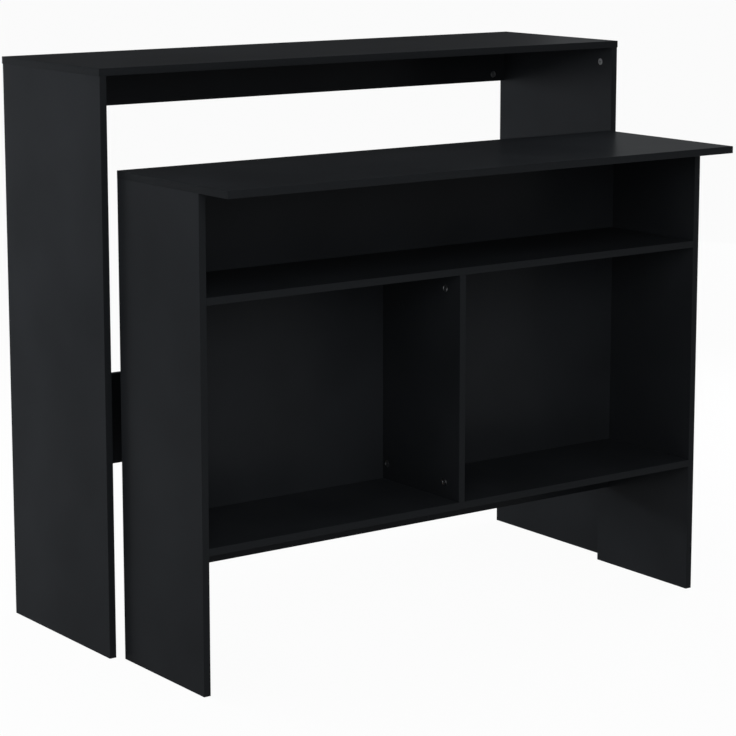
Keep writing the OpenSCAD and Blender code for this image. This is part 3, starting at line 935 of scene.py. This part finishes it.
class BARTABLE_OT_stage(bpy.types.Operator):
    """Set the white floor and backdrop, the soft lamps and the camera"""

    bl_idname = "bar_table.stage"
    bl_label = "Set the stage"

    def white_rays(self, tree):
        """1 for the rays that see the white background: the camera's, and those mirrored or let through"""
        rays = tree.nodes.new("ShaderNodeLightPath").outputs
        mirrored = combined(tree, "MAXIMUM", rays["Is Glossy Ray"], rays["Is Transmission Ray"])
        return rays["Is Camera Ray"], mirrored

    def blend(self, tree, share, plain, white, output):
        """Mixes white into a plain shader by a share, and puts the result out"""
        mix = tree.nodes.new("ShaderNodeMixShader")
        tree.links.new(share, mix.inputs["Fac"])
        tree.links.new(plain, mix.inputs[1])
        tree.links.new(white, mix.inputs[2])
        tree.links.new(mix.outputs["Shader"], tree.nodes[output].inputs["Surface"])

    def floor(self, scene, look):
        """A pale matte floor that the camera and gloss see nearly white"""
        bm = bmesh.new()
        bmesh.ops.create_grid(bm, x_segments=1, y_segments=1, size=look.floor_size / 2)
        floor = bpy.data.objects.new("floor", finish_mesh(bm, "floor"))
        scene.collection.objects.link(floor)
        material = bpy.data.materials.new("white_floor")
        material.use_nodes = True
        tree = material.node_tree
        shader = tree.nodes["Principled BSDF"]
        shader.inputs["Base Color"].default_value = (*look.floor_colour, 1)
        shader.inputs["Roughness"].default_value = 1.0
        shader.inputs["Specular IOR Level"].default_value = 0.0
        white = tree.nodes.new("ShaderNodeEmission")
        white.inputs["Color"].default_value = (1, 1, 1, 1)
        white.inputs["Strength"].default_value = 1.0
        seen, mirrored = self.white_rays(tree)
        seen = combined(tree, "MULTIPLY", seen, look.floor_glow)
        mirrored = combined(tree, "MULTIPLY", mirrored, look.mirrored_glow)
        share = combined(tree, "MAXIMUM", seen, mirrored)
        self.blend(tree, share, shader.outputs["BSDF"], white.outputs["Emission"], "Material Output")
        floor.data.materials.append(material)

    def world(self, scene, look):
        """Dim tinted walls as a light, and a white background for the camera and for what gloss mirrors"""
        world = bpy.data.worlds.new("studio")
        scene.world = world
        world.use_nodes = True
        tree = world.node_tree
        walls = tree.nodes["Background"]
        walls.inputs["Color"].default_value = (*look.tint, 1)
        walls.inputs["Strength"].default_value = look.ambient
        white = tree.nodes.new("ShaderNodeBackground")
        white.inputs["Color"].default_value = (1, 1, 1, 1)
        seen, mirrored = self.white_rays(tree)
        place = tree.nodes.new("ShaderNodeTexCoord")
        split = tree.nodes.new("ShaderNodeSeparateXYZ")
        tree.links.new(place.outputs["Generated"], split.inputs["Vector"])
        backdrop = tree.nodes.new("ShaderNodeMapRange")
        backdrop.interpolation_type = "SMOOTHSTEP"
        start, stop = look.backdrop_top
        backdrop.inputs["From Min"].default_value = start
        backdrop.inputs["From Max"].default_value = stop
        backdrop.inputs["To Min"].default_value = 1.0
        backdrop.inputs["To Max"].default_value = look.ceiling
        tree.links.new(split.outputs["Z"], backdrop.inputs["Value"])
        strength = combined(tree, "MAXIMUM", seen, backdrop.outputs["Result"])
        tree.links.new(strength, white.inputs["Strength"])
        share = combined(tree, "MAXIMUM", seen, mirrored)
        self.blend(tree, share, walls.outputs["Background"], white.outputs["Background"], "World Output")

    def lamps(self, scene, look):
        """Soft lamps that neither the camera nor gloss sees, and a panel that gloss mirrors"""
        for name in LAMPS:
            light = bpy.data.lights.new(f"{name}_lamp", "AREA")
            light.shape = "SQUARE"
            light.size = getattr(look, f"{name}_size")
            light.energy = getattr(look, f"{name}_power")
            light.color = look.tint
            lamp = bpy.data.objects.new(f"{name}_lamp", light)
            lamp.location = getattr(look, f"{name}_place")
            aim = Vector(look.lamp_aim) - lamp.location
            lamp.rotation_euler = aim.to_track_quat("-Z", "Y").to_euler()
            lamp.visible_camera = False
            lamp.visible_glossy = name == MIRRORED_LAMP
            scene.collection.objects.link(lamp)

    def camera(self, scene, look):
        """The photograph's camera, turned to the right and a little down"""
        camera = bpy.data.cameras.new("camera")
        camera.lens = look.lens
        camera.sensor_width = SENSOR_WIDTH
        camera.shift_x, camera.shift_y = look.shift
        camera.clip_end = look.floor_size * 2
        stand = bpy.data.objects.new("camera", camera)
        stand.location = look.camera_place
        level = math.cos(look.pitch)
        ahead = Vector((math.sin(look.yaw) * level, math.cos(look.yaw) * level, -math.sin(look.pitch)))
        stand.rotation_euler = ahead.to_track_quat("-Z", "Y").to_euler()
        scene.collection.objects.link(stand)
        scene.camera = stand

    def execute(self, context):
        scene = context.scene
        look = scene.bar_table.studio
        self.floor(scene, look)
        self.world(scene, look)
        self.lamps(scene, look)
        self.camera(scene, look)
        scene.view_settings.view_transform = "Standard"
        return {"FINISHED"}


class BARTABLE_PT_panel(bpy.types.Panel):
    """What can be made on the bar table, with its sizes and colours"""

    bl_label = "Bar table"
    bl_space_type = "VIEW_3D"
    bl_region_type = "UI"
    bl_category = "Bar table"

    def draw(self, context):
        settings = context.scene.bar_table
        groups = (
            ("stage", "studio"), ("boards", "boards"), ("edging", "edging"),
            ("cams", "cams"), ("bolts", "bolts"), ("dowels", "dowels"),
        )
        for operator, group in groups:
            box = self.layout.box()
            box.operator(f"bar_table.{operator}")
            values = getattr(settings, group)
            for name in values.bl_rna.properties.keys():
                if name not in ("rna_type", "name"):
                    box.prop(values, name)


CLASSES = (
    BoardFinish, EdgingShape, CamShape, BoltShape, DowelShape, StudioSetup, BarTable,
    BARTABLE_OT_stage, BARTABLE_OT_boards, BARTABLE_OT_edging, BARTABLE_OT_cams, BARTABLE_OT_bolts,
    BARTABLE_OT_dowels, BARTABLE_PT_panel,
)


def register():
    for cls in CLASSES:
        bpy.utils.register_class(cls)
    bpy.types.Scene.bar_table = PointerProperty(type=BarTable)


def unregister():
    del bpy.types.Scene.bar_table
    for cls in reversed(CLASSES):
        bpy.utils.unregister_class(cls)


def main():
    register()
    bpy.ops.bar_table.stage()
    bpy.ops.bar_table.boards()
    bpy.ops.bar_table.edging()
    bpy.ops.bar_table.cams()
    bpy.ops.bar_table.bolts()
    bpy.ops.bar_table.dowels()


if __name__ == "__main__":
    main()
